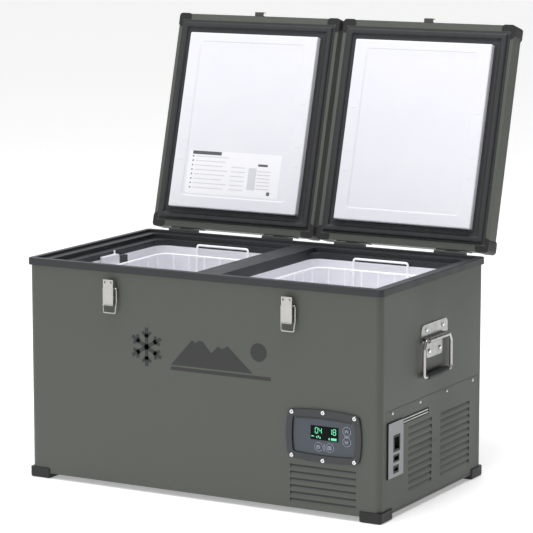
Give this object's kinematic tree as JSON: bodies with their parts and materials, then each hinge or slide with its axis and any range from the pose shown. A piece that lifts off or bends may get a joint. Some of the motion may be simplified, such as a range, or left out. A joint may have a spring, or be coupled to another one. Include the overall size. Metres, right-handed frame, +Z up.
{
  "type": "compressor cooler fridge",
  "caption": "Chest-style portable compressor fridge with twin hinged lids, wire baskets, toggle latches, drop handles, vented side cover, power inlets and a button panel.",
  "frame": {"origin": "on the floor, under the centre of the cabinet", "axes": "+Z up, -Y towards the front with the control panel, +X towards the side with the power inlets"},
  "size_m": [0.769, 0.6054, 0.8533],
  "materials": {
    "body_paint": "matte",
    "pan_paint": "matte",
    "rim_plastic": "matte",
    "bezel_plastic": "satin",
    "liner_plastic": "satin",
    "foam": "matte",
    "evaporator_alloy": "satin",
    "black_plastic": "matte",
    "screw_steel": "polished",
    "window_film": "satin",
    "display_black": "gloss",
    "board_laminate": "satin",
    "compressor_paint": "satin",
    "mount_rubber": "matte",
    "heat_sink": "satin",
    "pipe_metal": "satin",
    "bright_steel": "satin",
    "hinge_black": "satin",
    "basket_wire": "gloss",
    "grip_plastic": "matte",
    "gasket_rubber": "matte"
  },
  "bodies": {
    "cabinet": {"outer_shell": "body_paint", "side_cover": "body_paint", "base_pan": "pan_paint", "top_rim": "rim_plastic", "liner_left": "liner_plastic", "liner_right": "liner_plastic", "foam_insulation": "foam", "evaporators": "evaporator_alloy", "liner_light": "liner_plastic", "corner_feet": "black_plastic", "panhead_screws": "screw_steel", "control_bezel": "bezel_plastic", "control_window": "window_film", "display_lens": "display_black", "control_board": "board_laminate", "power_housing": "black_plastic", "ac_inlet": "black_plastic", "dc_inlet": "black_plastic", "usb_socket": "black_plastic", "slot_frame": "black_plastic", "compressor": "compressor_paint", "compressor_mounts": "mount_rubber", "compressor_controller": "heat_sink", "condenser": "heat_sink", "fan_frame": "black_plastic", "refrigerant_pipes": "pipe_metal", "handle_plates": "bright_steel", "handle_rivets": "bright_steel", "latch_bases": "bright_steel", "hinge_leaves": "hinge_black", "hinge_pins": "hinge_black"},
    "lid_left": {"lid_shell_left": "body_paint", "lid_gasket_left": "gasket_rubber", "lid_liner_left": "liner_plastic", "lid_foam_left": "foam", "lid_corners_left": "black_plastic", "lid_keeper_left": "bright_steel", "lid_hinge_leaves_left": "hinge_black"},
    "basket_left": {"basket_left": "basket_wire"},
    "latch_lever_left": {"latch_lever_left": "bright_steel"},
    "latch_bail_left": {"latch_bail_left": "bright_steel"},
    "handle_left": {"handle_bail_left": "bright_steel", "handle_grip_left": "grip_plastic"},
    "lid_right": {"lid_shell_right": "body_paint", "lid_gasket_right": "gasket_rubber", "lid_liner_right": "liner_plastic", "lid_foam_right": "foam", "lid_corners_right": "black_plastic", "lid_keeper_right": "bright_steel", "lid_hinge_leaves_right": "hinge_black"},
    "basket_right": {"basket_right": "basket_wire"},
    "latch_lever_right": {"latch_lever_right": "bright_steel"},
    "latch_bail_right": {"latch_bail_right": "bright_steel"},
    "handle_right": {"handle_bail_right": "bright_steel", "handle_grip_right": "grip_plastic"},
    "button_up": {"button_up": "window_film"},
    "button_down": {"button_down": "window_film"},
    "button_power": {"button_power": "window_film"},
    "button_zone": {"button_zone": "window_film"},
    "fan": {"fan_rotor": "black_plastic"}
  },
  "joints": [
    {"name": "lid_left_hinge", "type": "hinge", "parent": "cabinet", "child": "lid_left", "pos_m": [0, 0.2251, 0.4193], "axis": [1, 0, 0], "range_deg": [0, 105.16]},
    {"name": "basket_left_lift", "type": "slide", "parent": "cabinet", "child": "basket_left", "axis": [0, 0, -1], "range_m": [-0.4, 0]},
    {"name": "latch_lever_left_swing", "type": "hinge", "parent": "cabinet", "child": "latch_lever_left", "pos_m": [-0.1875, -0.2205, 0.39], "axis": [-1, 0, 0], "range_deg": [0, 150]},
    {"name": "latch_bail_left_swing", "type": "hinge", "parent": "latch_lever_left", "child": "latch_bail_left", "pos_m": [-0.1875, -0.2176, 0.378], "axis": [1, 0, 0], "range_deg": [-174, 0]},
    {"name": "handle_left_swing", "type": "hinge", "parent": "cabinet", "child": "handle_left", "pos_m": [-0.378, 0, 0.303], "axis": [0, 1, 0], "range_deg": [0, 95]},
    {"name": "lid_right_hinge", "type": "hinge", "parent": "cabinet", "child": "lid_right", "pos_m": [0, 0.2251, 0.4193], "axis": [1, 0, 0], "range_deg": [0, 105.16]},
    {"name": "basket_right_lift", "type": "slide", "parent": "cabinet", "child": "basket_right", "axis": [0, 0, -1], "range_m": [-0.22, 0]},
    {"name": "latch_lever_right_swing", "type": "hinge", "parent": "cabinet", "child": "latch_lever_right", "pos_m": [0.1875, -0.2205, 0.39], "axis": [-1, 0, 0], "range_deg": [0, 150]},
    {"name": "latch_bail_right_swing", "type": "hinge", "parent": "latch_lever_right", "child": "latch_bail_right", "pos_m": [0.1875, -0.2176, 0.378], "axis": [1, 0, 0], "range_deg": [-174, 0]},
    {"name": "handle_right_swing", "type": "hinge", "parent": "cabinet", "child": "handle_right", "pos_m": [0.378, 0, 0.303], "axis": [0, -1, 0], "range_deg": [0, 95]},
    {"name": "button_up_press", "type": "slide", "parent": "cabinet", "child": "button_up", "axis": [0, 1, 0], "range_m": [0, 0.0006], "stiffness_N_per_m": 500},
    {"name": "button_down_press", "type": "slide", "parent": "cabinet", "child": "button_down", "axis": [0, 1, 0], "range_m": [0, 0.0006], "stiffness_N_per_m": 500},
    {"name": "button_power_press", "type": "slide", "parent": "cabinet", "child": "button_power", "axis": [0, 1, 0], "range_m": [0, 0.0006], "stiffness_N_per_m": 500},
    {"name": "button_zone_press", "type": "slide", "parent": "cabinet", "child": "button_zone", "axis": [0, 1, 0], "range_m": [0, 0.0006], "stiffness_N_per_m": 500},
    {"name": "fan_spin", "type": "hinge", "parent": "cabinet", "child": "fan", "pos_m": [0.262, 0.075, 0.095], "axis": [1, 0, 0], "continuous": true}
  ]
}
